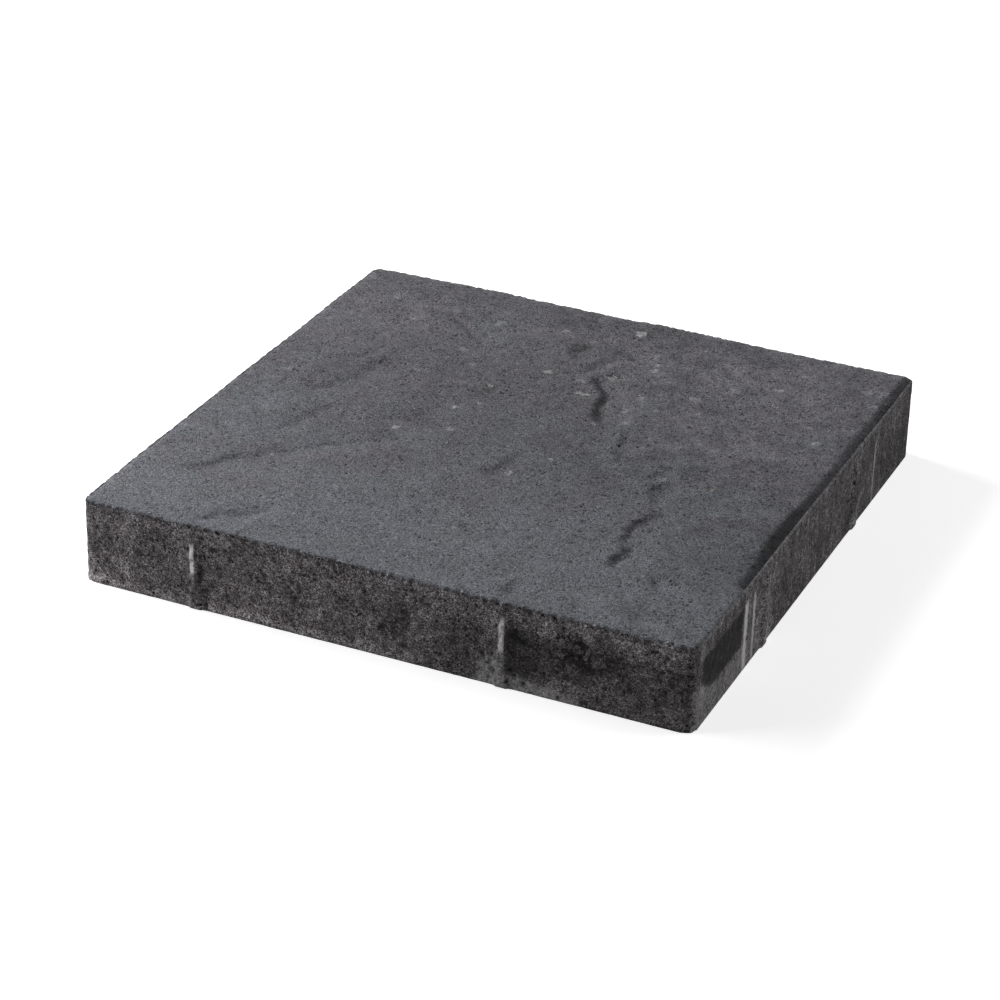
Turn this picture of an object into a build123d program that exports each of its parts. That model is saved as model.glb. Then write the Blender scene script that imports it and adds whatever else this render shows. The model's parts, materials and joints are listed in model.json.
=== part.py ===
from build123d import *
from math import exp, hypot, pi, sin
import os

os.makedirs("parts", exist_ok=True)

# A cast concrete paving slab lying flat, riven wearing face up.
# Origin at the centre of the bed, the flat underside. X runs along the front edge,
# Y to the back, Z up. Millimetres.

# The block
SLAB_LENGTH = 350.0
SLAB_WIDTH = 350.0
SLAB_THICKNESS = 50.0
CORNER_RADIUS = 6.0
TOP_ARRIS_RADIUS = 1.2

# The spacer ribs cast on all four sides. They keep a joint open between neighbours.
RIB_FOOT_WIDTH = 12.0
RIB_CREST_WIDTH = 4.0
RIB_PROUD = 1.8
RIB_FOOT_HEIGHT = 41.0
RIB_CREST_HEIGHT = 38.0
# Where they stand, as shares of the side they stand on, measured from its middle.
FRONT_RIB_PLACES = (-0.303, 0.203)
RIGHT_RIB_PLACES = (-0.214, 0.203)

# The riven face is cast against split stone: a skin of low swells, crossed by clefts
# where one leaf of the stone broke off and the next began. It rolls down to the edges.
RIM_DROP = 0.7
RIM_POWER = 8
SWELL_DEPTH = 0.35
SWELL_LENGTH = 190.0
SWELL_SLANT = 0.6
SWELL_TWIST = -0.3
SWELL_SHIFT = 0.8
CLEFT_DEPTH = 1.3
CLEFT_HALF_WIDTH = 13.0
SECTIONS = 24

# Each cleft is a straight run between two points, as shares of length and width from
# the middle of the slab, and how deep it is beside the deepest one.
CLEFTS = (
    ((-0.28, 0.36), (-0.20, 0.29), 0.7),
    ((-0.29, 0.18), (-0.36, 0.02), 0.8),
    ((-0.31, -0.04), (-0.35, -0.16), 0.5),
    ((-0.17, -0.10), (-0.41, -0.35), 0.8),
    ((-0.24, -0.40), (-0.31, -0.47), 0.6),
    ((-0.04, 0.39), (0.07, 0.34), 0.6),
    ((0.03, 0.24), (0.08, 0.13), 1.0),
    ((0.10, 0.10), (0.17, -0.02), 0.7),
    ((0.27, -0.07), (0.28, -0.16), 0.5),
    ((0.28, -0.22), (0.30, -0.31), 0.7),
    ((0.36, -0.33), (0.41, -0.40), 0.8),
)


def cleft_share(x, y, start, end):
    """How much of a cleft's depth is felt at a point: all in its middle, fading all round."""
    x0, y0 = start[0] * SLAB_LENGTH, start[1] * SLAB_WIDTH
    x1, y1 = end[0] * SLAB_LENGTH, end[1] * SLAB_WIDTH
    half_run = hypot(x1 - x0, y1 - y0) / 2
    run_x, run_y = (x1 - x0) / (2 * half_run), (y1 - y0) / (2 * half_run)
    from_x, from_y = x - (x0 + x1) / 2, y - (y0 + y1) / 2
    along = (from_x * run_x + from_y * run_y) / (half_run + CLEFT_HALF_WIDTH / 2)
    across = (from_y * run_x - from_x * run_y) / CLEFT_HALF_WIDTH
    return exp(-along * along - across * across)


def face_drop(x, y):
    """How far the riven face lies under its highest level at a point."""
    rim = RIM_DROP * hypot((2 * x / SLAB_LENGTH) ** RIM_POWER, (2 * y / SLAB_WIDTH) ** RIM_POWER)
    turn_x = 2 * pi * x / SWELL_LENGTH
    turn_y = 2 * pi * y / SWELL_LENGTH
    slanting = sin(turn_x + SWELL_SLANT * turn_y + SWELL_SHIFT)
    swell = SWELL_DEPTH * (1 - slanting * sin(turn_y + SWELL_TWIST * turn_x))
    clefts = sum(share * cleft_share(x, y, start, end) for start, end, share in CLEFTS)
    return rim + swell + CLEFT_DEPTH * clefts


# The face's sections reach past the block, so that it parts the block cleanly all round.
reach_x = SLAB_LENGTH / 2 + CORNER_RADIUS
reach_y = SLAB_WIDTH / 2 + CORNER_RADIUS
section_xs = [reach_x * (2 * i / SECTIONS - 1) for i in range(SECTIONS + 1)]
section_ys = [reach_y * (2 * j / SECTIONS - 1) for j in range(SECTIONS + 1)]
highest = min(face_drop(x, y) for x in section_xs for y in section_ys)
split_stone_top = SLAB_THICKNESS + 4 * CLEFT_DEPTH

# The split stone the face is cast against: its underside is the riven face.
with BuildPart() as split_stone:
    for y in section_ys:
        heights = [SLAB_THICKNESS + highest - face_drop(x, y) for x in section_xs]
        with BuildSketch(Plane(origin=(0, y, 0), x_dir=(1, 0, 0), z_dir=(0, -1, 0))):
            with BuildLine():
                Spline(*zip(section_xs, heights))
                Polyline(
                    (reach_x, heights[-1]),
                    (reach_x, split_stone_top),
                    (-reach_x, split_stone_top),
                    (-reach_x, heights[0]),
                )
            make_face()
    loft()

# One rib stands on each of these planes: origin on the side's foot, Z out of the side.
rib_planes = []
for way in (1, -1):
    for place in FRONT_RIB_PLACES:
        foot = (way * place * SLAB_LENGTH, -way * SLAB_WIDTH / 2, 0)
        rib_planes.append(Plane(origin=foot, x_dir=(way, 0, 0), z_dir=(0, -way, 0)))
    for place in RIGHT_RIB_PLACES:
        foot = (way * SLAB_LENGTH / 2, way * place * SLAB_WIDTH, 0)
        rib_planes.append(Plane(origin=foot, x_dir=(0, way, 0), z_dir=(way, 0, 0)))

with BuildPart() as paving_slab:
    with BuildSketch(Plane.XY):
        RectangleRounded(SLAB_LENGTH, SLAB_WIDTH, CORNER_RADIUS)
    extrude(amount=SLAB_THICKNESS + CLEFT_DEPTH)
    add(split_stone.part, mode=Mode.SUBTRACT)
    riven_face = paving_slab.faces().sort_by(Axis.Z)[-1]
    fillet(riven_face.edges(), radius=TOP_ARRIS_RADIUS)
    for side_plane in rib_planes:
        with BuildSketch(side_plane):
            with Locations((0, RIB_FOOT_HEIGHT / 2)):
                Rectangle(RIB_FOOT_WIDTH, RIB_FOOT_HEIGHT)
        with BuildSketch(side_plane.offset(RIB_PROUD)):
            with Locations((0, RIB_CREST_HEIGHT / 2)):
                Rectangle(RIB_CREST_WIDTH, RIB_CREST_HEIGHT)
        loft()

paving_slab.part.label = "paving_slab"
export_step(paving_slab.part, "parts/paving_slab.step")
box = paving_slab.part.bounding_box()
print("box", box.min, box.max, "solids", len(paving_slab.solids()), "faces", len(paving_slab.faces()))
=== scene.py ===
# %% [markdown]
# This lesson dresses a concrete paving slab. Everything is in metres, with the bed
# of the slab on the ground and the riven face up.

import json
import math

import bmesh
import bpy
import numpy as np
from mathutils import Matrix, Vector

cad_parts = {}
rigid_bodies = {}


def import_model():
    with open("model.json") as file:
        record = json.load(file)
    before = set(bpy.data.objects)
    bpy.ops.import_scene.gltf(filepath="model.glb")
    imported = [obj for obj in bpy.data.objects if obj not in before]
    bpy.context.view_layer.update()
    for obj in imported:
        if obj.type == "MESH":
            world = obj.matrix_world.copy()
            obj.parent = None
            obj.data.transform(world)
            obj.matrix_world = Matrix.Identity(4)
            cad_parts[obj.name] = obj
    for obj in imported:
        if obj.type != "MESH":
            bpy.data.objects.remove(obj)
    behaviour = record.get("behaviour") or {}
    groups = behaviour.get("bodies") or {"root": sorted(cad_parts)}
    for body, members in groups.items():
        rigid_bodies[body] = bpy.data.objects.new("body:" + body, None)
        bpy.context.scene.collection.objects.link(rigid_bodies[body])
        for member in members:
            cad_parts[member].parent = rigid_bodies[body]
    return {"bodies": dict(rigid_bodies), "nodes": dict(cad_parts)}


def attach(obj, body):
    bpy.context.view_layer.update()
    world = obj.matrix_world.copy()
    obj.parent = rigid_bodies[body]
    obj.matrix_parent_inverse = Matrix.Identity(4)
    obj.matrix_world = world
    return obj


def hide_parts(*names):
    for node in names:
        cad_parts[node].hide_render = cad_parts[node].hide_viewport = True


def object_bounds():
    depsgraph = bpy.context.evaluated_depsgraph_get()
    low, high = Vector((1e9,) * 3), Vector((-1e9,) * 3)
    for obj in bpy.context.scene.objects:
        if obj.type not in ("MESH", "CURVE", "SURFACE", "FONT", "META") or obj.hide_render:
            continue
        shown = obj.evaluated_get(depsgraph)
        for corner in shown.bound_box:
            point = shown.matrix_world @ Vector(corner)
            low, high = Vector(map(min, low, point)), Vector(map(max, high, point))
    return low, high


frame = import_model()
cad_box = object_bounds()
root_body = next(iter(frame["bodies"]))

# %% [markdown]
# The slab is one cast block, so there is one piece to dress. The measured solid gives
# its true outline, ribs and low swells, but its skin is smooth and its triangles are
# uneven. One way on would be to model a new block. Another is to melt the solid into an
# even skin of small squares, which keeps every measured shape and gives points close
# enough to carve. A voxel remesh does that, so it is the way taken here.

# %% Melt the solid into an even skin
VOXEL = 0.001

source = frame["nodes"]["paving_slab"]
slab_mesh = bpy.data.meshes.new_from_object(source)
slab_mesh.transform(source.matrix_world)
slab = bpy.data.objects.new("riven_slab", slab_mesh)
bpy.context.scene.collection.objects.link(slab)


def apply_modifier(piece, kind, **settings):
    """Adds a modifier with these settings and bakes its result into the mesh."""
    modifier = piece.modifiers.new(kind.lower(), kind)
    for name, value in settings.items():
        setattr(modifier, name, value)
    with bpy.context.temp_override(object=piece, active_object=piece):
        bpy.ops.object.modifier_apply(modifier=modifier.name)


apply_modifier(slab, "REMESH", mode="VOXEL", voxel_size=VOXEL, use_smooth_shade=True)
print("even skin:", len(slab.data.vertices), "points")

# %% [markdown]
# Stone relief comes from noise: smooth random bumps of a chosen size, laid over each
# other from broad to fine. Blender's own Displace modifier can add them one at a time,
# but the slab also needs relief in chosen places, so the points are read into numpy
# arrays, shaped there in millimetres and written back once.

# %% Read the points
MM = 1000.0

count = len(slab.data.vertices)
flat = np.empty(count * 3, np.float32)
slab.data.vertices.foreach_get("co", flat)
points = flat.reshape(-1, 3).astype(np.float64) * MM
slab.data.vertices.foreach_get("normal", flat)
normals = flat.reshape(-1, 3).astype(np.float64)
X, Y, Z = points.T


def rise(value, low, high):
    """0 below low, 1 above high and a smooth climb between."""
    t = np.clip((value - low) / (high - low), 0.0, 1.0)
    return t * t * (3 - 2 * t)


def within(value, low, high, edge):
    """1 between low and high, fading to 0 over the width of edge outside them."""
    return rise(value, low - edge, low) * (1 - rise(value, high, high + edge))


on_top = rise(normals[:, 2], 0.55, 0.9)
on_bed = rise(-normals[:, 2], 0.55, 0.9)
on_side = 1 - on_top - on_bed
print("share of points on the face", round(float(on_top.mean()), 2))
print("share of points on the sides", round(float(on_side.mean()), 2))

# %% [markdown]
# Two kinds of noise are enough for concrete. Gradient noise gives rolling bumps. Cell
# noise scatters one seed in each cell of a lattice and measures how near it is, which
# gives separate things such as pores. Both look up the same shuffled list, so that each
# run of the file gives the same slab.

# %% Set up the noise
dice = np.random.default_rng(7)
SHUFFLE = dice.permutation(256)
SLOPES = dice.normal(size=(256, 3))
SLOPES /= np.linalg.norm(SLOPES, axis=1)[:, None]


def corner_hash(cell):
    """A number from 0 to 255 for each lattice cell, the same on every run."""
    a = SHUFFLE[cell[:, 0] & 255]
    b = SHUFFLE[(a + cell[:, 1]) & 255]
    return SHUFFLE[(b + cell[:, 2]) & 255]


def noise(at, size, shift=0.0):
    """Smooth random bumps about as wide as size, from -1 to 1."""
    q = at / size + shift
    cell = np.floor(q).astype(np.int64)
    part = q - cell
    fade = part**3 * (part * (part * 6 - 15) + 10)
    total = np.zeros(len(at))
    for step in np.ndindex(2, 2, 2):
        slope = SLOPES[corner_hash(cell + step)]
        share = np.prod(np.where(step, fade, 1 - fade), axis=1)
        total += (slope * (part - step)).sum(1) * share
    return 1.5 * total


def layered(at, size, layers, shift=0.0):
    """Noise laid over itself, each layer half the size and half the height."""
    total = np.zeros(len(at))
    for k in range(layers):
        total += noise(at, size / 2**k, shift + 3.7 * k) / 2**k
    return total


def cells(at, size, shift=0.0):
    """Distance to the nearest of scattered seeds, one per cell of that size, and a
    random number from 0 to 1 that belongs to the nearest one."""
    q = at / size + shift
    home = np.floor(q).astype(np.int64)
    best = np.full(len(at), 1e9)
    label = np.zeros(len(at), np.int64)
    for step in np.ndindex(3, 3, 3):
        cell = home + step - np.array((1, 1, 1))
        key = corner_hash(cell)
        seat = cell + 0.5 + 0.45 * SLOPES[key]
        gap = np.linalg.norm(q - seat, axis=1)
        nearer = gap < best
        best = np.where(nearer, gap, best)
        label = np.where(nearer, key, label)
    return best * size, SHUFFLE[(label + 91) & 255] / 255.0


mottle = noise(points, 22.0, 18.2)
print("mottle from", round(float(mottle.min()), 2), "to", round(float(mottle.max()), 2))

# %% [markdown]
# A riven face is a copy of split slate. It shows clefts, where one leaf of the slate
# broke off: walking across one, the surface falls within a few millimetres and climbs
# back slowly. It also shows low ridges, which are the same shape turned over. Their
# places are this slab's own, so each is written as a few points along its line, how far
# it falls, half the width of the fall, and how far on it takes to settle. Noise makes the
# lines wander, so that none of them is straight.

# %% Carve the clefts and ridges
CLEFTS = [
    # line, fall (a minus sign makes it a ridge), half width, settling length
    ([(-99, 126), (-84, 113), (-72, 102)], 1.0, 2.6, 10),
    ([(-104, 60), (-114, 45), (-115, 30), (-126, 7), (-138, -2)], 1.1, 4.6, 18),
    ([(-108, -14), (-113, -24), (-121, -53)], 0.8, 3.2, 14),
    ([(-60, -32), (-74, -44), (-92, -60), (-112, -78)], 0.6, 3.0, 8),
    ([(-112, -78), (-130, -97), (-146, -121)], 1.05, 3.8, 18),
    ([(-81, -140), (-97, -152), (-109, -164)], 1.1, 3.8, 16),
    ([(-20, 132), (-8, 139), (4, 130)], 0.5, 1.8, 8),
    ([(4, 130), (18, 122), (26, 118)], 1.5, 4.0, 12),
    ([(-15, 128), (-15, 112), (-10, 106)], 1.6, 4.0, 12),
    ([(8, 116), (4, 106), (1, 96)], 0.95, 2.4, 7),
    ([(10, 88), (15, 79), (23, 70), (25, 56), (27, 46), (34, 36)], 2.3, 3.0, 12),
    ([(50, 33), (54, 22), (56, 8), (62, -6), (71, -3)], 1.0, 2.4, 10),
    ([(90, -6), (86, -14)], 0.65, 1.6, 6),
    ([(99, -16), (92, -28), (98, -43)], 1.25, 2.8, 9),
    ([(105, -47), (99, -64), (97, -76), (99, -88)], 1.5, 3.0, 10),
    ([(103, -90), (105, -102), (102, -114)], 2.0, 3.0, 9),
    ([(127, -114), (133, -128)], 0.85, 2.4, 8),
    ([(142, -133), (144, -144)], 0.9, 4.5, 8),
    ([(66, -155), (67, -168)], 1.2, 3.6, 10),
    ([(10, -25), (7, -36), (4, -54)], 1.1, 4.0, 12),
    ([(-31, 50), (-43, 36)], 0.8, 3.0, 12),
    ([(-55, 12), (-63, -10)], 0.65, 3.2, 14),
    ([(-128, 52), (-136, 20)], 0.9, 11.0, 20),
    ([(15, 114), (11, 104), (8, 94)], -1.2, 4.5, 20),
    ([(43, 58), (46, 48), (51, 36)], -1.1, 4.0, 14),
    ([(-54, -38), (-68, -50), (-86, -66), (-108, -86)], -0.9, 7.0, 30),
    ([(-147, -6), (-125, 2), (-105, 8), (-88, 16), (-75, 25)], -0.9, 6.0, 22),
    ([(-141, -18), (-138, -38)], -1.1, 6.0, 12),
    ([(-77, -135), (-84, -152), (-88, -168)], -0.6, 3.5, 12),
    ([(85, -125), (68, -143), (57, -157)], -0.5, 2.6, 10),
    ([(95, -8), (91, -16)], -0.5, 2.5, 8),
]
CLEFT_END = 7.0


def beside_line(x, y, line):
    """How far a point lies beside a line, positive on its +X side, and how far it lies
    past the nearer of the line's two ends, negative between them."""
    line = np.array(line, float)
    whole = line[-1] - line[0]
    hand = -1.0 if whole[1] > 0 else 1.0
    best = np.full(len(x), 1e9)
    beside = np.zeros(len(x))
    past = np.full(len(x), -1e9)
    last = len(line) - 2
    for k, (start, end) in enumerate(zip(line[:-1], line[1:])):
        run = np.hypot(*(end - start))
        ux, uy = (end - start) / run
        t = (x - start[0]) * ux + (y - start[1]) * uy
        held = np.clip(t, -1e9 if k == 0 else 0, 1e9 if k == last else run)
        dx, dy = x - start[0] - held * ux, y - start[1] - held * uy
        gap = np.hypot(dx, dy)
        over = np.maximum(-t if k == 0 else -1e9, t - run if k == last else -1e9)
        far = np.hypot(gap, np.maximum(over, 0))
        nearer = far < best
        best = np.where(nearer, far, best)
        # A line that runs towards -Y has +X on its left hand.
        beside = np.where(nearer, hand * gap * np.sign(ux * dy - uy * dx), beside)
        past = np.where(nearer, over, past)
    return beside, past


wander = np.stack([noise(points, 14.0, 1.3), noise(points, 14.0, 8.1)], 1) * 2.2
wander += np.stack([noise(points, 4.5, 2.3), noise(points, 4.5, 5.1)], 1) * 1.5
wander += np.stack([noise(points, 2.2, 6.3), noise(points, 2.2, 9.1)], 1) * 0.6
face_x, face_y = X + wander[:, 0], Y + wander[:, 1]
patchy = 1 + 0.5 * noise(points, 9.0, 40.5)
cleft = np.zeros(count)
shade, ridge_highlight = np.zeros(count), np.zeros(count)
for line, fall, half_width, settle in CLEFTS:
    beside, past = beside_line(face_x, face_y, line)
    ends = 1 - rise(past, -CLEFT_END, CLEFT_END)
    away = np.maximum(np.abs(beside) - half_width, 0)
    fallen = rise(beside, -half_width, half_width) - 0.3
    cleft += fall * patchy * fallen * np.exp(-away / settle) * ends
    # The fall also sets painted shade along each cleft and a painted highlight along each
    # ridge.
    painted_line = shade if fall > 0 else ridge_highlight
    steep = 1.3 * abs(fall) / half_width * patchy
    line_mask = steep * np.exp(-((beside / half_width) ** 2)) * ends
    np.maximum(painted_line, line_mask, out=painted_line)
deepest, highest = float(-cleft.max()), float(-cleft.min())
print("clefts from", round(deepest, 2), "to", round(highest, 2), "mm")

# %% [markdown]
# Between the clefts the split stone still undulates, in leaves that lie slantwise over
# the face, with a sandy skin on top and small pits, most of them near the far corner. At
# the right edge the face rolls down further, as the mould was worn there, and near the
# back and left edges its relief calms down.

# %% Lay the riven relief over the face
TOP_LEVEL = 48.9
HALF = 175.0
LEAF_ANGLE = 35

turned = points @ np.array(Matrix.Rotation(math.radians(LEAF_ANGLE), 3, "Z")).T
leaves = np.abs(layered(turned * (0.45, 1.0, 1.0), 26.0, 3, 4.4))
skin = layered(points, 7.0, 3, 9.2)
rolled = within(Y, -103, 200, 8) * (1.1 + 0.5 * noise(points, 60.0, 5.5))
roll_start = 169.0 - 2.2 * within(Y, -60, -25, 30) + 1.0 * noise(points, 18.0, 3.1)
roll_start += 0.7 * noise(points, 5.0, 23.1)
right_roll = 1.3 * rise(X, roll_start, roll_start + 6.5) * rolled
left_roll = 0.35 * rise(-X, 170.5, 175.5)
back_roll = 0.2 * rise(Y, 170.5, 175.5)
pit_gap, pit_luck = cells(points, 4.0, 2.9)
pit_size = 0.7 + 0.7 * pit_luck
pit_field = rise(noise(points, 90.0, 3.3) + 0.6 * X / HALF + 0.6 * Y / HALF, -0.2, 0.6)
pit = (1 - rise(pit_gap, 0.3 * pit_size, pit_size)) * (pit_luck > 0.8 - 0.4 * pit_field)

calm = 1 - 0.65 * np.maximum(rise(Y, 158, 172), rise(-X, 158, 172))
face_relief = calm * (0.45 * (0.3 - leaves) + 0.16 * skin) - cleft - 0.6 * pit
face_relief -= right_roll + left_roll + back_roll
print("face relief from", round(float(face_relief.min()), 2), "mm")

# %% [markdown]
# The sides are cast against steel and dragged out of the mould. The front and back are
# coarse: grains stand out, and where the mix didn't close up it left open pores and, in
# a few places, tore open. The left and right are smoother and carry upright drag marks.
# The arris, the edge between face and sides, crumbles in small bites.

# %% Roughen the sides and the arris


def oval(a, b, centre_a, centre_b, half_a, half_b):
    """A soft oval: 1 in its middle, 0 well outside."""
    return np.exp(-(((a - centre_a) / half_a) ** 2) - ((b - centre_b) / half_b) ** 2)


edge_gap = np.minimum(HALF - np.abs(X), HALF - np.abs(Y))
below = TOP_LEVEL - Z
arris_gap = np.hypot(np.maximum(edge_gap, 0), np.maximum(below, 0))
near_arris = 1 - rise(arris_gap, 0.8, 2.8)
bite = np.maximum(0, noise(points, 4.2, 12.5) + 0.8 * noise(points, 2.2, 30.5) + 0.2)

front = rise(-Y, 172, 174)
right = rise(X, 172, 174)
back = rise(Y, 172, 174)
left = rise(-X, 172, 174)
coarse = 0.35 + 0.65 * rise(-Y, 165, 174) + 0.1 * rise(Y, 165, 174)
foot_calm = 0.25 + 0.75 * rise(Z, 0.5, 6)

grit = layered(points, 5.0, 3, 6.6)
pore_gap, pore_luck = cells(points, 4.2, 0.4)
pore_size = 0.8 + 1.6 * pore_luck
pore = (1 - rise(pore_gap, 0.3 * pore_size, pore_size)) * (pore_luck > 0.55)
torn_field = 0.3 * rise(noise(points, 30.0, 9.9), 0.1, 0.5) * within(Z, 14, 38, 6)
torn_field += oval(X, Z, 104, 30, 26, 9)
torn_field = np.clip(torn_field * (front + 0.6 * back), 0, 1)
tears = np.abs(layered(points * (0.55, 0.55, 1.0), 7.0, 2, 50.3))
torn = (1 - rise(tears, 0.06, 0.20)) * torn_field
drag = layered(points * (1.0, 1.0, 0.12), 2.6, 3, 15.1)

side_relief = 0.26 * grit - 0.7 * pore - 1.1 * torn + 0.12 * drag - 0.4
side_relief += 0.12 * layered(points, 2.2, 2, 21.4)
side_relief *= coarse * foot_calm
bed_relief = 0.12 * grit + 0.1
arris_relief = -near_arris * bite * coarse * 2.0
shift = on_top * face_relief + on_side * side_relief + on_bed * bed_relief
shift += arris_relief * (1 - on_bed)
moved = points + normals * shift[:, None]
lowest, highest = float(shift.min()), float(shift.max())
print("relief from", round(lowest, 2), "to", round(highest, 2), "mm")

# %% [markdown]
# The dressed piece has to stay inside the measured block, or it wouldn't lie in the
# frame as the solid does. So the skin is cut off at the block's own box.

# %% Keep the skin inside the measured block
low, high = (np.array(corner) * MM for corner in cad_box)


def write_points(mesh, places):
    """Puts places, in millimetres, into the mesh, held inside the measured block."""
    held = np.clip(places, low, high) / MM
    mesh.vertices.foreach_set("co", held.astype(np.float32).ravel())
    mesh.update()


write_points(slab.data, moved)
print("held inside", low.round(2), high.round(2), "mm")

# %% [markdown]
# Colour on concrete follows its making too: pale cement skin is rubbed off or left in
# streaks where the mould dragged and fines gather at the foot. The clefts get painted
# shade.
# Those places are painted here on the points, as numbers that the material reads later.
# The first one, 0 where the skin is whole and about 1 in the palest places, holds the
# streaks, the spots, the worn front edge and a painted highlight along the right arris.

# %% Paint the pale places
FRONT_STREAKS = [
    # place along the side, half width, foot, top, strength
    (-108.5, 3.0, 0, 21, 0.40),
    (69.5, 4.0, 9, 22, 0.50),
    (68.5, 6.0, 0, 10, 0.45),
]
RIGHT_STREAKS = [
    (-97.5, 3.0, 0, 38, 0.35),
    (-79.0, 5.0, 0, 36, 0.35),
    (105.0, 3.0, 0, 11, 0.7),
    (-30.0, 5.0, 18, 38, 0.2),
]
SIDE_SPOTS = [
    # side, place along it, height, width, strength
    ("right", -166, 43, 9, 0.8),
    ("right", 73, 4, 18, 0.9),
    ("front", 65, 9, 18, 0.85),
    ("front", 160, 41, 8, 0.35),
    ("front", 141, 12, 6, 0.35),
    ("front", 161, 10, 7, 0.35),
]
FACE_SPOTS = [
    # place on the face, width, strength
    (11, 156, 9, 0.7), (12, 64, 9, 0.7), (41, 55, 8, 0.45), (-45, 16, 6, 0.65),
    (-17, 81, 7, 0.6), (-141, 136, 7, 0.4), (-119, 112, 7, 0.35), (-64, -24, 5, 0.6),
    (15, -45, 6, 0.6), (29, -20, 5, 0.5), (15, -115, 4, 0.4), (-170, 160, 12, 0.3),
    (36, 120, 6, 0.45), (36, 111, 6, 0.5), (111, 119, 9, 0.45), (89, 107, 7, 0.4),
    (71, 87, 8, 0.35), (82, 70, 8, 0.35), (90, 55, 7, 0.3), (20, 90, 7, 0.4),
    (5, 79, 8, 0.4), (44, 74, 7, 0.4), (152, 65, 6, 0.55), (95, 36, 5, 0.4),
    (121, -12, 6, 0.35), (-100, 135, 6, 0.35), (-31, 140, 6, 0.5), (-70, 132, 9, 0.35),
    (-164, 89, 6, 0.3), (-137, 51, 5, 0.4), (-152, 17, 5, 0.4), (-61, 70, 5, 0.4),
    (-86, 50, 5, 0.35), (-39, 49, 5, 0.45), (-35, 27, 5, 0.45), (-36, -11, 5, 0.45),
    (-71, -59, 4, 0.35), (-100, 12, 5, 0.5), (117, 145, 5, 0.5), (54, 150, 5, 0.5),
    (157, 140, 6, 0.4), (166, 126, 6, 0.4), (-74, 87, 6, 0.4), (142, 82, 5, 0.45),
    (48, 40, 7, 0.35), (33, 32, 4, 0.4), (8, 14, 4, 0.35), (93, -15, 5, 0.4),
    (-45, -42, 4, 0.3), (-110, -82, 4, 0.35), (72, -75, 4, 0.3), (-16, -85, 4, 0.3),
    (58, 63, 5, 0.35), (31, 130, 5, 0.45), (48, 131, 4, 0.4), (-1, 0, 4, 0.3),
]


def streak(along, centre, width, z0, z1):
    """An upright streak on a side: place along it, half width, foot and top."""
    across = 1 - rise(np.abs(along - centre), 0.35 * width, width)
    return across * within(Z, z0, z1 - 2, 3)


def foot_band(along, start, end, height):
    """A pale band along the foot of a side, with a wavy upper edge."""
    upper = height + foot_wave
    return within(along, start + 3, end - 3, 6) * (1 - rise(Z, upper - 2, upper + 2))


def spot(a, b, centre_a, centre_b, width):
    """A ragged spot about as wide as width."""
    gap = np.hypot(a - centre_a, b - centre_b) + 0.25 * width * ragged
    return 1 - rise(gap, 0.2 * width, 0.6 * width)


rubbed_and_glint = np.zeros(count)


def paint_pale(mask):
    """Adds a mask to the pale places, the stronger one winning."""
    np.maximum(rubbed_and_glint, mask, out=rubbed_and_glint)


ragged = noise(points, 3.6, 27.7) + 0.5 * noise(points, 1.9, 28.8)
sway = 0.8 * noise(points, 9.0, 7.7)
foot_wave = 1.6 * noise(points, 12.0, 31.0)
sides = {
    # where the side is, and the place along it
    "front": (front, X),
    "right": (right, Y),
    "back": (back, -X),
    "left": (left, -Y),
}
streaked = (
    # side, streaks, how strong, how far the streaks are moved
    ("front", FRONT_STREAKS, 1.0, 0),
    ("right", RIGHT_STREAKS, 1.0, 0),
    ("back", FRONT_STREAKS, 0.7, 4),
    ("left", RIGHT_STREAKS, 0.6, -3),
)
for name, streaks, strength, moved_by in streaked:
    face, along = sides[name]
    for centre, width, z0, z1, bright in streaks:
        mask = streak(along + sway, centre + moved_by, width, z0, z1)
        paint_pale(face * bright * strength * mask)
for name, centre, height, width, bright in SIDE_SPOTS:
    face, along = sides[name]
    paint_pale(face * bright * spot(along, Z, centre, height, width))
for centre_x, centre_y, width, bright in FACE_SPOTS:
    near = (np.abs(X - centre_x) < width) & (np.abs(Y - centre_y) < width) & (Z > 40)
    mask = np.zeros(count)
    gap = np.hypot(X[near] - centre_x, Y[near] - centre_y) + 0.45 * width * ragged[near]
    mask[near] = 1 - rise(gap, 0.18 * width, 0.42 * width)
    paint_pale(on_top * (2.7 * bright - 0.5) * mask)
bend = 12 + 9 * ((Y + 122) / 40) ** 2
paint_pale(right * 0.60 * foot_band(Y, -172, -100, bend))
paint_pale(right * 0.60 * foot_band(Y, -178, -164, 24))
paint_pale(front * 1.10 * foot_band(X, 56, 112, 8 - np.abs(X - 78) / 8))
paint_pale(back * 0.25 * foot_band(-X, -40, 30, 9))
paint_pale(left * 0.25 * foot_band(-Y, 20, 110, 12))
edge_crumbs = near_arris * rise(noise(points, 2.6, 44.4), 0.35, 0.6)
paint_pale(edge_crumbs * on_top * 0.5 * rise(-Y, 170, 173))
# A thin pale line along the right arris is a painted highlight.
right_arris_highlight = rise(X, 173.6, 174.6) * (1 - rise(below, 1.3, 2.1))
paint_pale(0.60 * right_arris_highlight)
print("rubbed, mean", round(float(rubbed_and_glint.mean()), 4))
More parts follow.
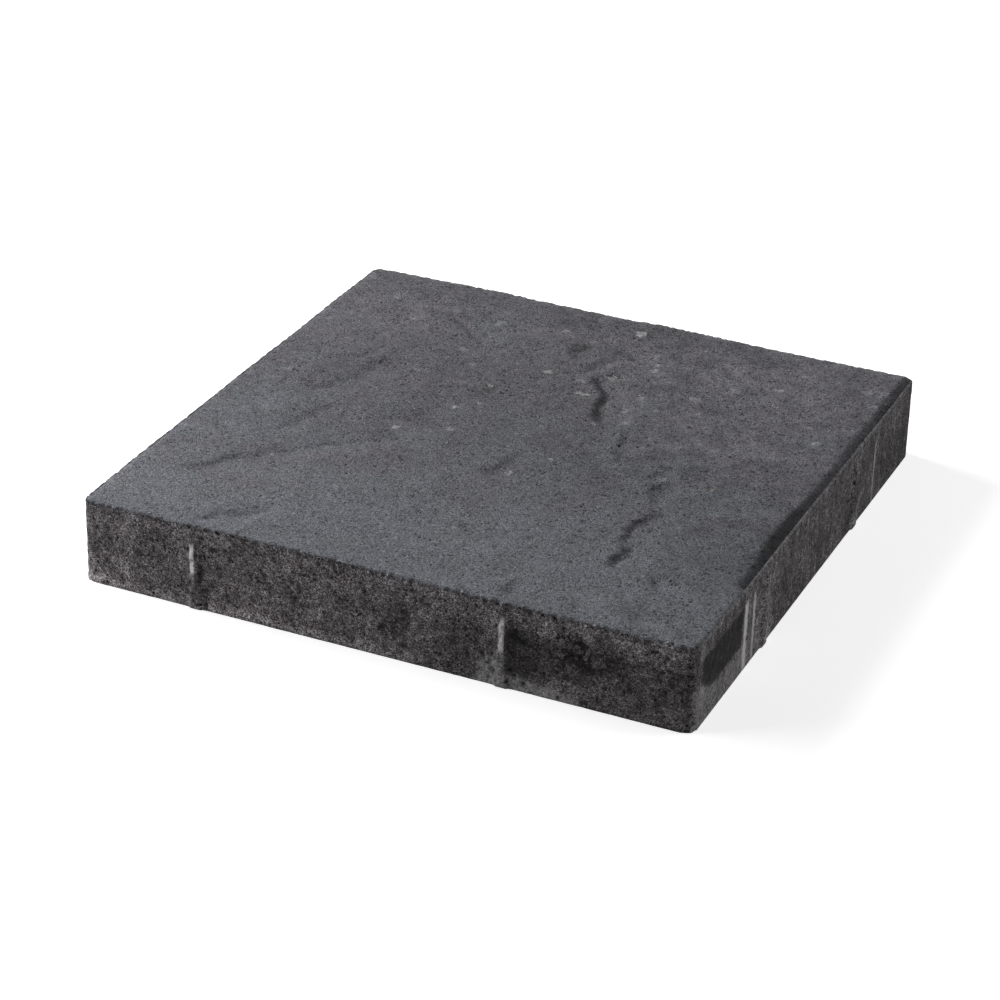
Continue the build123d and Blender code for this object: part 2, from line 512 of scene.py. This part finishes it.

# %% [markdown]
# The second is `tone`, which makes the concrete darker below 1 and paler above it:
# painted shade in the clefts, on the rolled right edge, beside the ribs on the front and
# just under the front arris, a painted highlight on the ridges and the left rim, the left
# side darkened as painted shade, the dark panel pressed beside a rib on the right side and
# the paler foot. A tone has no sharp edge, so it is a sum of soft bands and patches.

# %% Paint the darker and paler places
FAR = 999  # well past the slab's edge, for a band that doesn't end
FACE_PATCHES = [
    # middle, half sizes, how much paler
    (55, -10, 55, 40, -0.08),
    (-60, 55, 60, 35, -0.05),
    (155, -85, 32, 40, -0.21),
    (-150, 90, 50, 60, 0.06),
]
FRONT_PATCHES = [
    # place along the side, height, half sizes, how much paler
    (48, 26, 20, 11, -0.10),
    (46, 46, 14, 5, -0.24),
    (-76, 26, 15, 9, -0.14),
    (-15, 26, 15, 9, -0.14),
    (-45, 24, 14, 9, 0.36),
    (16, 33, 12, 12, 0.25),
    (-45, 46, 14, 5, -0.16),
]
FRONT_BANDS = [
    # start, end and edge along the side, foot, top and edge upwards, how much paler
    (-FAR, FAR, 1, 36, FAR, 6, 0.10),
    (-FAR, -10, 40, -FAR, 1, 7, 1.90),
    (-FAR, 0, 30, -FAR, 16, 8, 0.25),
    (60, 110, 6, -FAR, 1, 7, 1.30),
    (-150, -95, 8, 34, FAR, 6, -0.10),
    (28, 66, 8, 30, FAR, 6, 0.16),
    (158, FAR, 8, 35, FAR, 5, 0.45),
    (45, FAR, 30, 14, 32, 5, -0.34),
    (75, 115, 8, 10, 34, 5, -0.22),
    # Painted shade on the right flank of the left rib.
    (-105, -101, 1.5, 2, 38, 3, -0.35),
    # Painted shade on the step to the right of the right rib.
    (73.5, 90, 2, 10, 40, 2, -0.20),
]
RIGHT_BANDS = [
    # the same, on the right side
    (-108, -66, 3, -FAR, FAR, 1, 0.25),
    (70, FAR, 30, -FAR, FAR, 1, -0.13),
    (-60, -35, 5, -FAR, 20, 10, -0.25),
    (160, FAR, 12, -FAR, FAR, 1, -0.15),
    (-106, -62, 4, -FAR, 16, 10, 0.60),
    (135, FAR, 17, -FAR, FAR, 1, -0.22),
    (15, FAR, 15, 16, 34, 4, -0.10),
]


def patched(a, b, patches):
    """The sum of soft ovals, each so much paler than its surroundings."""
    total = np.zeros(count)
    for centre_a, centre_b, half_a, half_b, paler in patches:
        total += paler * oval(a, b, centre_a, centre_b, half_a, half_b)
    return total


def banded(along, bands):
    """The sum of soft-edged bands on a side, each so much paler."""
    total = np.zeros(count)
    for start, end, edge, foot, top, edge_up, paler in bands:
        total += paler * within(along, start, end, edge) * within(Z, foot, top, edge_up)
    return total


face_tone = 1.05 - 0.17 * rise(Y, -140, 0) + 0.05 * rise(Y, 60, 110)
face_tone += 0.07 * rise(-X, 90, 160) * (1 - rise(Y, 10, 50))
face_tone += 0.13 * rise(X, 30, 110) * rise(Y, 0, 40) + patched(X, Y, FACE_PATCHES)
back_edge = 148 + 6 * noise(points, 25.0, 70.2)
face_tone -= 0.10 * rise(Y, back_edge, back_edge + 4) * (1 - rise(Y, 168, 171))
stains = layered(points, 16.0, 3, 60.1)
face_tone *= 1 + (0.05 + 0.06 * pit_field) * mottle + (0.07 + 0.22 * pit_field) * stains
# Painted shade in the clefts, stronger towards the right.
cleft_shade_strength = (0.20 + 0.18 * rise(X, -90, 0)) * (1 + 0.7 * noise(points, 3.4, 90.3))
face_tone *= 1 - cleft_shade_strength * np.clip(shade, 0, 1.1)
# A painted highlight on the ridges.
face_tone *= 1 + 0.22 * np.clip(ridge_highlight, 0, 1.2)
# Painted shade on the rolled-down right edge, which slopes away from the lamp on the left.
roll_shade = rise(X, roll_start - 1.5, roll_start + 0.8) * (1 - rise(X, 174.0, 175.0))
face_tone *= 1 - roll_shade * within(Y, -103, 200, 4) * (0.60 + 0.20 * within(Y, -60, -25, 30))
# Paler along the left rim, a painted highlight where it leans towards the lamp on the
# left, and paler along the back rim.
face_tone *= 1 + 0.12 * rise(-X, 169, 172) + 0.10 * rise(Y, 169.5, 171.5)
face_tone *= 1 - 0.35 * near_arris * rise(-Y, 172, 174.5)

front_tone = 1.34 + banded(X, FRONT_BANDS) + patched(X, Z, FRONT_PATCHES)
front_tone *= 1 + 0.20 * mottle + 0.14 * layered(points, 9.0, 2, 33.3)
blotch = layered(points * (1.0, 1.0, 0.45), 9.0, 3, 80.6)
smear = layered(points * (1.0, 1.0, 0.22), 5.0, 2, 84.1)
panel = within(Z, 17 + 8 * rise(-Y, 150, 170), 37.5, 1.5) * within(Y, -164, -109, 2.5)
beside_panel = (1 - panel) * (1 - rise(Y, -112, -106)) * (1 - rise(Z, 20, 28))
right_tone = 1.20 - 0.99 * panel + 0.75 * beside_panel + banded(Y, RIGHT_BANDS)
right_tone *= 1 + 0.12 * mottle + 0.22 * blotch + 0.22 * smear
side_tone = {
    "front": front_tone,
    "right": right_tone,
    "back": 0.9 + 0.25 * mottle,
    # The left side is kept darker as painted shade, against the lamp on the left.
    "left": 0.75 + 0.15 * mottle + 0.25 * blotch,
}
tone = np.ones(count)
for name, (face, _) in sides.items():
    tone += on_side * face * (side_tone[name] - 1)
tone += on_top * (face_tone - 1)
# A painted shadow line just under the front arris.
tone *= 1 - 0.15 * on_side * front * within(below, 0.2, 2.0, 0.8)
far_edge = np.maximum(rise(-X, 172.2, 173.2), 0.6 * rise(Y, 173.0, 174.2))
far_arris = far_edge * rise(Z, 45.5, 46.8)
tone *= 1 - 0.85 * far_arris * rise(noise(points, 5.0, 71.1), -0.35, 0.0)
tone = np.clip(tone, 0.1, 3.0)
print("tone from", round(float(tone.min()), 2), "to", round(float(tone.max()), 2))

# %% [markdown]
# Four more numbers tell the material what kind of surface it is on. The first is 1 deep
# in a pore, a pit or a tear and about half in the bites of the arris, and tells where the
# material paints shade; `side` is 1 on the sides and the bed, `dragged` is 1 where the
# mould smoothed the left and right sides, and `torn` is 1 where the mix tore open as it
# was pushed out.

# %% Write the painted numbers on the points
# Pores, pits, tears and the bites of the arris: the material paints shade there, towards
# black.
hollow_shade = on_side * np.maximum(pore * coarse, torn) + on_top * pit
hollow_shade += 0.5 * near_arris * bite * on_side * coarse
values = {
    "rubbed_and_glint": np.clip(rubbed_and_glint, 0, 1.3),
    "tone": tone,
    "hollow_shade": np.clip(hollow_shade, 0, 1),
    "side": np.clip(on_side + on_bed, 0, 1),
    "dragged": on_side * np.maximum(right, left),
    "torn": on_side * torn_field,
}
for name, value in values.items():
    layer = slab.data.attributes.new(name, "FLOAT", "POINT")
    layer.data.foreach_set("value", value.astype(np.float32))
    print(name, "mean", round(float(value.mean()), 3))

# %% [markdown]
# A flat place needs few triangles and a crumbled edge needs many. The Decimate modifier
# merges the ones that show least, and a vertex group tells it where to hold back: at
# the arris, in the clefts and round the pale spots. The painted numbers come along.

# %% Thin the skin where it is plain
TRIANGLES = 196_000

keep = 0.30 + 0.70 * near_arris + 0.5 * np.clip(shade, 0, 1) + 0.4 * (rubbed_and_glint > 0.05)
keep = np.clip(keep - 0.3 * on_bed, 0.05, 1.0)
weights = slab.vertex_groups.new(name="keep")
for step in range(1, 11):
    chosen = np.nonzero((keep > (step - 1) / 10) & (keep <= step / 10))[0]
    weights.add(chosen.tolist(), step / 10, "REPLACE")
slab.data.calc_loop_triangles()
before = len(slab.data.loop_triangles)
held_back = {"vertex_group": "keep", "vertex_group_factor": 0.6}
held_back.update(invert_vertex_group=True, ratio=TRIANGLES / before)
apply_modifier(slab, "DECIMATE", **held_back)
slab.vertex_groups.clear()
thinned = np.empty(len(slab.data.vertices) * 3, np.float32)
slab.data.vertices.foreach_get("co", thinned)
write_points(slab.data, thinned.reshape(-1, 3) * MM)
slab.data.calc_loop_triangles()
print("triangles", before, "thinned to", len(slab.data.loop_triangles))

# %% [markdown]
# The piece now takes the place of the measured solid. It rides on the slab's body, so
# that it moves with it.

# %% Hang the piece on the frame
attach(slab, root_body)
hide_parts("paving_slab")
print("riven_slab rides on", root_body)

# %% [markdown]
# The concrete is dyed charcoal all through. Its face has a closed, slightly bluish skin
# with sand showing in it, and its sides are darker, warmer and coarser. A picture of
# concrete could be wrapped round the block, but it would blur close up and stretch at
# the edges. Noise of several sizes in millimetres holds at any distance, so the colour
# is built from that. These helpers keep the node tree short to write: each adds a node,
# wires it up and hands back its output.

# %% Helpers for the node tree
concrete = bpy.data.materials.new("charcoal_concrete")
concrete.use_nodes = True
tree = concrete.node_tree
tree.nodes.clear()


def node(kind, feeds=(), **settings):
    """Adds a node, sets its fields and feeds its inputs by name or number."""
    made = tree.nodes.new(kind)
    for name, value in settings.items():
        setattr(made, name, value)
    for key, value in dict(feeds).items():
        socket = made.inputs[key]
        if isinstance(value, bpy.types.NodeSocket):
            tree.links.new(value, socket)
        else:
            socket.default_value = value
    return made


def maths(operation, a, b=0.0, clamp=False):
    """Sums on single numbers."""
    made = node("ShaderNodeMath", {0: a, 1: b}, operation=operation, use_clamp=clamp)
    return made.outputs[0]


def between(value, low, high, to_low=0.0, to_high=1.0):
    """Maps value from low..high to to_low..to_high, held at the ends."""
    feeds = {"Value": value, "From Min": low, "From Max": high}
    feeds.update({"To Min": to_low, "To Max": to_high})
    return node("ShaderNodeMapRange", feeds).outputs[0]


def vectors(operation, a, b):
    """Sums on places and directions. For a scaling, b is one number."""
    feeds = {0: a, 3 if operation == "SCALE" else 1: b}
    return node("ShaderNodeVectorMath", feeds, operation=operation).outputs[0]


def blend(share, a, b, kind="MIX"):
    """Colour a where share is 0, and b laid over it where share is 1."""
    feeds = {0: share, 6: a, 7: b}
    return node("ShaderNodeMix", feeds, data_type="RGBA", blend_type=kind).outputs[2]


def times(colour, value):
    """The colour made darker below 1 and paler above it."""
    return blend(1.0, colour, value, "MULTIPLY")


def painted(name):
    """One of the numbers painted on the points."""
    return node("ShaderNodeAttribute", attribute_name=name).outputs["Fac"]


in_mm = vectors("SCALE", node("ShaderNodeTexCoord").outputs["Object"], MM)


def clouds(size, detail=3.0, rough=0.55, at=in_mm):
    """Noise with bumps about size millimetres wide."""
    feeds = {"Vector": at, "Scale": 1 / size, "Detail": detail, "Roughness": rough}
    return node("ShaderNodeTexNoise", feeds).outputs["Fac"]


print("material", concrete.name)

# %% [markdown]
# Sand grains come from a Voronoi texture, which cuts space into cells with a random
# number each. Straight cell walls would give it away, so the coordinates are shaken by a
# fine noise first. That turns the cells into ragged grains. Small dots would be torn to
# dust by so much shaking, so they get coordinates that are only nudged.

# %% Grains, pores and specks
SHAKE, NUDGE = 0.9, 0.35  # how far the coordinates are moved, in millimetres
SAND, FINE, CLUMP = 0.95, 0.45, 2.6  # sizes of grains in millimetres
PIT, SPECK, CRUMB = 2.4, 3.4, 2.6  # sizes of the cells that hold one dot at most

shake_feeds = {"Vector": in_mm, "Scale": 1 / 1.3, "Detail": 2.0}
shaking = node("ShaderNodeTexNoise", shake_feeds).outputs["Color"]
centred = vectors("SUBTRACT", shaking, (0.5, 0.5, 0.5))
shaken = vectors("ADD", in_mm, vectors("SCALE", centred, 2 * SHAKE))
nudged = vectors("ADD", in_mm, vectors("SCALE", centred, 2 * NUDGE))


def grains(size, at=shaken):
    """Cells about size millimetres wide: distance to the middle in millimetres, and two
    random numbers from 0 to 1 for each cell."""
    made = node("ShaderNodeTexVoronoi", {"Vector": at, "Scale": 1 / size})
    distance = maths("MULTIPLY", made.outputs["Distance"], size)
    parts = node("ShaderNodeSeparateColor", {0: made.outputs["Color"]}).outputs
    return distance, parts[0], parts[1]


def dots(size, share, small, large, at=shaken):
    """Ragged dots, one in a share of the cells, with radii from small to large."""
    distance, luck, second = grains(size, at)
    radius = between(second, 0, 1, small, large)
    inside = between(maths("DIVIDE", distance, radius), 0.7, 1.1, 1, 0)
    chosen = maths("LESS_THAN", luck, share)
    return maths("MULTIPLY", inside, chosen)


sand_distance, sand_luck, _ = grains(SAND)
_, fine_luck, _ = grains(FINE)
_, clump_luck, _ = grains(CLUMP)
print("grains of", SAND, FINE, "and", CLUMP, "mm")

# %% [markdown]
# The face is bluish at the front and warmer and more stained towards the back. Its sand
# is a shade lighter or darker than its bed, its finest grains vary most, and the small
# pits, darkened with painted shade, crowd together towards the far corner.

# %% Colour of the face
FACE_GREY = (0.1245, 0.1310, 0.1450, 1)
FACE_WARM = (0.1225, 0.1188, 0.1290, 1)

x_mm, y_mm, z_mm = node("ShaderNodeSeparateXYZ", {0: in_mm}).outputs
to_back = between(y_mm, -160, 60, -0.14, 0.14)
warm = between(maths("ADD", clouds(36, 5, 0.6), to_back), 0.42, 0.58)
face_colour = blend(warm, FACE_GREY, FACE_WARM)
cloud_low = between(y_mm, -120, 60, 0.93, 0.84)
cloud_high = between(y_mm, -120, 60, 1.07, 1.16)
face_colour = times(face_colour, between(clouds(7, 4), 0.3, 0.7, cloud_low, cloud_high))
face_colour = times(face_colour, between(sand_luck, 0, 1, 0.86, 1.14))
face_colour = times(face_colour, between(fine_luck, 0, 1, 0.20, 1.83))
to_corner = between(maths("ADD", x_mm, y_mm), -100, 200, -0.10, 0.14)
pit_share = between(maths("ADD", clouds(40, 2), to_corner), 0.35, 0.65, 0.08, 0.55)
pits = dots(PIT, pit_share, 0.28, 0.80, nudged)
# Painted shade darkens the small pits.
face_colour = times(face_colour, between(pits, 0, 1, 1.07, 0.20))
print("face colour from", FACE_GREY[:3], "to", FACE_WARM[:3])

# %% [markdown]
# The sides have coarse clumps and grains, open pores darkened with painted shade, and pale
# grit. Most of their fine grains are dark and a few are pale, so their luck is squared. On
# the left and right, `dragged` calms the sand, brings out the clumps and adds fine upright
# lines.

# %% Colour of the sides
SIDE_GREY = (0.0780, 0.0720, 0.0755, 1)
SIDE_PALE = (0.160, 0.154, 0.158, 1)
PALE = (0.42, 0.415, 0.41, 1)

side_colour = blend(between(clouds(4.5, 5, 0.7), 0.44, 0.78), SIDE_GREY, SIDE_PALE)
side_colour = times(side_colour, between(clouds(22, 3), 0.3, 0.7, 0.66, 1.34))
dragged = painted("dragged")
clump_low = between(dragged, 0, 1, 0.80, 0.62)
clump_high = between(dragged, 0, 1, 1.20, 1.38)
side_colour = times(side_colour, between(clump_luck, 0, 1, clump_low, clump_high))
sand_low = between(dragged, 0, 1, 0.64, 0.72)
sand_high = between(dragged, 0, 1, 1.38, 1.28)
side_colour = times(side_colour, between(sand_luck, 0, 1, sand_low, sand_high))
uneven = maths("POWER", fine_luck, 2.0)
side_colour = times(side_colour, between(uneven, 0, 1, 0.20, 2.60))
side_pores = dots(PIT, between(dragged, 0, 1, 0.40, 0.22), 0.4, 1.10, nudged)
# Painted shade darkens the open pores.
side_colour = times(side_colour, between(side_pores, 0, 1, 1.14, 0.08))
grit_dots = dots(CLUMP, 0.16, 0.3, 0.65)
side_colour = blend(maths("MULTIPLY", grit_dots, 0.35), side_colour, PALE)
upright = vectors("MULTIPLY", in_mm, (1, 1, 0.16))
lines = between(clouds(4.0, 5, 0.65, upright), 0.34, 0.66, 0.60, 1.42)
side_colour = times(side_colour, blend(dragged, (1, 1, 1, 1), lines))
print("side colour from", SIDE_GREY[:3], "to", SIDE_PALE[:3])

# %% [markdown]
# Where the mould scraped hardest, beside the ribs, it left pale stripes only a few
# millimetres wide. Painted on points they would blur, so they are drawn by the material
# itself from the place in millimetres, with edges that waver.

# %% Scraped stripes beside the ribs
STRIPES = [
    # side, place along it, half width, foot, top, strength
    ("front", -107.6, 1.5, 21, 38, 1.0),
    ("front", 70.6, 1.9, 21, 40, 0.9),
    ("right", -103.3, 3.0, 0, 40, 1.0),
    ("right", -91.3, 2.2, 0, 40, 0.7),
    ("right", -69.5, 2.4, 0, 39, 1.0),
    ("right", 105.0, 1.2, 8, 38, 0.45),
]

facing = {
    "front": between(y_mm, -172.5, -174, 0, 1),
    "right": between(x_mm, 172.5, 174, 0, 1),
}
waver = maths("MULTIPLY", maths("SUBTRACT", clouds(5, 3), 0.5), 2.0)
along_side = {
    "front": maths("ADD", x_mm, waver),
    "right": maths("ADD", y_mm, waver),
}
stripes = None
for face, centre, half_width, foot, top, strength in STRIPES:
    gap = maths("ABSOLUTE", maths("SUBTRACT", along_side[face], centre))
    across = between(gap, 0.5 * half_width, half_width, 1, 0)
    mask = maths("MULTIPLY", across, facing[face])
    mask = maths("MULTIPLY", mask, between(z_mm, foot - 1, foot + 2, 0, 1))
    mask = maths("MULTIPLY", mask, between(z_mm, top - 2, top + 1, strength, 0))
    stripes = mask if stripes is None else maths("MAXIMUM", stripes, mask)
print("stripes", len(STRIPES))

# %% [markdown]
# The face and the sides meet along a line that wobbles from grain to grain. The painted
# numbers go on over both: the tone, the pale worn places with the painted highlight on the
# right arris, broken up by grain, and painted shade in the hollows. Pale specks of stone,
# the crumbs on the front arris and the gashes where the mix tore open, painted black as
# shade, come with them. A broken concrete surface hardly shines.

# %% Put the concrete together
BARE = (0.80, 0.79, 0.77, 1)
SHADE_BLACK = (0.010, 0.009, 0.010, 1)
SHINE = 0.1

crumbling = clouds(1.8, 3, 0.7, shaken)
wobble = maths("MULTIPLY", maths("SUBTRACT", crumbling, 0.5), 0.9)
side = between(maths("ADD", painted("side"), wobble), 0.42, 0.58)
colour = blend(side, face_colour, side_colour)
colour = times(colour, painted("tone"))
specks = dots(SPECK, 0.16, 0.22, 0.55, nudged)
colour = blend(maths("MULTIPLY", specks, 0.75), colour, PALE)
sandy = between(sand_luck, 0, 1, 0.35, 1.2)
grainy = maths("MULTIPLY", sandy, between(fine_luck, 0, 1, 0.5, 1.3))
broken = maths("MULTIPLY", between(crumbling, 0.34, 0.50), grainy)
colour = blend(maths("MULTIPLY", painted("rubbed_and_glint"), broken, True), colour, PALE)
scraped = maths("MULTIPLY", stripes, between(crumbling, 0.26, 0.40))
scraped = maths("MULTIPLY", scraped, between(sand_luck, 0, 1, 0.75, 1.25), True)
colour = blend(scraped, colour, BARE)
front_edge = between(y_mm, -172.3, -173.4, 0, 1)
on_arris = maths("MULTIPLY", front_edge, between(z_mm, 45.8, 47.0, 0, 1))
crumb_share = between(x_mm, -60, 100, 0.06, 0.34)
crumbs = maths("MULTIPLY", dots(CRUMB, crumb_share, 0.4, 0.9, nudged), on_arris)
colour = blend(maths("MULTIPLY", crumbs, 0.75), colour, BARE)
# Painted shade: the hollows are darkened towards black.
colour = blend(maths("MULTIPLY", painted("hollow_shade"), 0.85), colour, SHADE_BLACK)
# Black gashes in the torn patches are painted shade in the cracks.
vein = maths("ABSOLUTE", maths("SUBTRACT", clouds(6, 4, 0.6, shaken), 0.5))
vein = between(vein, 0.03, 0.07, 1, 0)
gash_shade = maths("MULTIPLY", vein, between(clouds(9, 2), 0.42, 0.52))
gash_shade = maths("MULTIPLY", gash_shade, between(painted("torn"), 0.05, 0.35))
colour = blend(maths("MULTIPLY", gash_shade, 0.95), colour, SHADE_BLACK)

bumpy = maths("ADD", clouds(1.2, 4, 0.75), maths("MULTIPLY", sand_distance, -0.4))
holes = maths("MAXIMUM", side_pores, pits)
bumpy = maths("SUBTRACT", bumpy, maths("MULTIPLY", holes, 0.8))
bump_depth = between(side, 0, 1, 0.0006, 0.0010)
bump_feeds = {"Height": bumpy, "Distance": bump_depth, "Strength": 0.9}
bumps = node("ShaderNodeBump", bump_feeds).outputs[0]
roughness = between(clouds(3, 3), 0.3, 0.7, 0.78, 0.95)
shader_feeds = {"Base Color": colour, "Normal": bumps, "Roughness": roughness}
shader_feeds["Specular IOR Level"] = SHINE
shader = node("ShaderNodeBsdfPrincipled", shader_feeds)
tree.links.new(shader.outputs[0], node("ShaderNodeOutputMaterial").inputs[0])
slab.data.materials.clear()
slab.data.materials.append(concrete)
print("nodes in the material", len(tree.nodes))

# %% [markdown]
# The slab stands on white paper in a soft studio. The paper is plain and dull, so it
# takes the slab's shadow. It also glows a little for the camera alone, which makes it
# white without lighting the slab from below.

# %% Lay the paper floor
FLOOR_HALF = 6.0
PAPER_GLOW = 0.68

floor_mesh = bpy.data.meshes.new("floor")
shape = bmesh.new()
bmesh.ops.create_grid(shape, x_segments=1, y_segments=1, size=FLOOR_HALF)
shape.to_mesh(floor_mesh)
shape.free()
floor = bpy.data.objects.new("floor", floor_mesh)
bpy.context.scene.collection.objects.link(floor)


def seen_by_camera():
    """1 for what the camera sees, also by way of a mirror or glass, and 0 for light."""
    rays = node("ShaderNodeLightPath").outputs
    mirrored = maths("MAXIMUM", rays["Is Glossy Ray"], rays["Is Transmission Ray"])
    return maths("MAXIMUM", rays["Is Camera Ray"], mirrored)


paper = bpy.data.materials.new("white_paper")
paper.use_nodes = True
tree = paper.node_tree
tree.nodes.clear()
dull = node("ShaderNodeBsdfDiffuse", {"Color": (0.8, 0.8, 0.8, 1)}).outputs[0]
strength = maths("MULTIPLY", seen_by_camera(), PAPER_GLOW)
glow = node("ShaderNodeEmission", {"Strength": strength}).outputs[0]
both = node("ShaderNodeAddShader", {0: dull, 1: glow}).outputs[0]
tree.links.new(both, node("ShaderNodeOutputMaterial").inputs[0])
floor.data.materials.append(paper)
print("floor", 2 * FLOOR_HALF, "m wide")

# %% [markdown]
# The light falls mostly from the left, a little from the front and weakly from behind
# on the right, so the ribs show and the right side stays darker. Broad lamps and a dim
# white room keep every shadow soft.

# %% Set up the room and the lamps
ROOM_LIGHT = 0.06

world = bpy.data.worlds.new("studio")
bpy.context.scene.world = world
world.use_nodes = True
tree = world.node_tree
tree.nodes.clear()
strength = between(seen_by_camera(), 0, 1, ROOM_LIGHT, 1.0)
backdrop = node("ShaderNodeBackground", {"Color": (1, 1, 1, 1), "Strength": strength})
tree.links.new(backdrop.outputs[0], node("ShaderNodeOutputWorld").inputs[0])


def lamp(name, place, size, power, aim=(0, 0, 0.03)):
    """A square soft lamp at place, aimed at the slab."""
    light = bpy.data.lights.new(name, "AREA")
    light.shape = "SQUARE"
    light.size = size
    light.energy = power
    lamp_object = bpy.data.objects.new(name, light)
    lamp_object.location = place
    towards = Vector(aim) - Vector(place)
    lamp_object.rotation_euler = towards.to_track_quat("-Z", "Y").to_euler()
    bpy.context.scene.collection.objects.link(lamp_object)
    print("lamp", name, power, "W")


lamp("key_left", (-1.36, 0.24, 0.8), 0.8, 26)
lamp("fill_left_front", (-1.2, -0.7, 0.8), 0.8, 12)
lamp("rim_back_right", (1.2, 0.7, 0.8), 0.8, 8)

# %% [markdown]
# The camera looks down on the near right corner through a long lens, so the edges stay
# almost parallel. Its place is written as an angle round the slab, an angle above the
# ground and a distance, then moved a little across and up to frame the slab.

# %% Set up the camera
AZIMUTH, ELEVATION, ROLL = (math.radians(a) for a in (23.72, 27.70, 1.62))
DISTANCE, ACROSS, UP = 1.7269, -0.0085, 0.0073
FOCAL_PIXELS = 3072.5
IMAGE_PIXELS = 1000.0
SENSOR = 36.0

sideways, level = math.cos(ELEVATION) * math.sin(AZIMUTH), math.cos(ELEVATION)
backwards = Vector((sideways, -level * math.cos(AZIMUTH), math.sin(ELEVATION)))
level_right = (-backwards).cross(Vector((0, 0, 1))).normalized()
level_up = level_right.cross(-backwards)
right_hand = math.cos(ROLL) * level_right + math.sin(ROLL) * level_up
upwards = -math.sin(ROLL) * level_right + math.cos(ROLL) * level_up
stand = backwards * DISTANCE + right_hand * ACROSS + upwards * UP
camera_data = bpy.data.cameras.new("camera")
camera_data.sensor_width = SENSOR
camera_data.lens = SENSOR * FOCAL_PIXELS / IMAGE_PIXELS
camera_data.clip_start = 0.05
camera_data.clip_end = 30.0
camera = bpy.data.objects.new("camera", camera_data)
axes = Matrix((right_hand, upwards, backwards)).transposed()
camera.matrix_world = Matrix.Translation(stand) @ axes.to_4x4()
bpy.context.scene.collection.objects.link(camera)
bpy.context.scene.camera = camera
bpy.context.scene.view_settings.view_transform = "Standard"
print("camera", [round(v, 4) for v in stand], "lens", round(camera_data.lens, 1))
